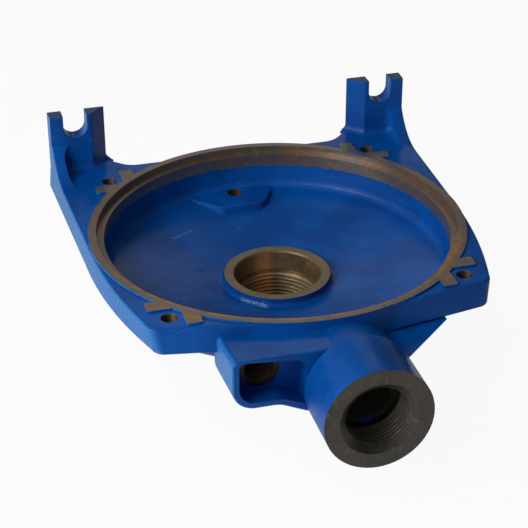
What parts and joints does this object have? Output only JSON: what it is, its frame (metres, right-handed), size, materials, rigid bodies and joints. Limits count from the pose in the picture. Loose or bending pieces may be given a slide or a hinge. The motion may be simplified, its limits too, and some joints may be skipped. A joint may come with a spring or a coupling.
{
  "type": "centrifugal pump cover",
  "caption": "Cast iron pump cover: dished bowl with a machined rim, central threaded suction hub, threaded discharge pipe, plug pocket and two slotted feet.",
  "frame": {"origin": "centre of the rim's machined face", "axes": "+Z along the pump's axis towards the open side of the bowl, +Y towards the feet, -Y along the discharge pipe"},
  "size_m": [0.209, 0.2557, 0.0967],
  "materials": {
    "casting": "gloss enamel on sand-cast iron, machined faces bare"
  },
  "bodies": {
    "root": {"pump_cover": "casting"}
  },
  "joints": []
}
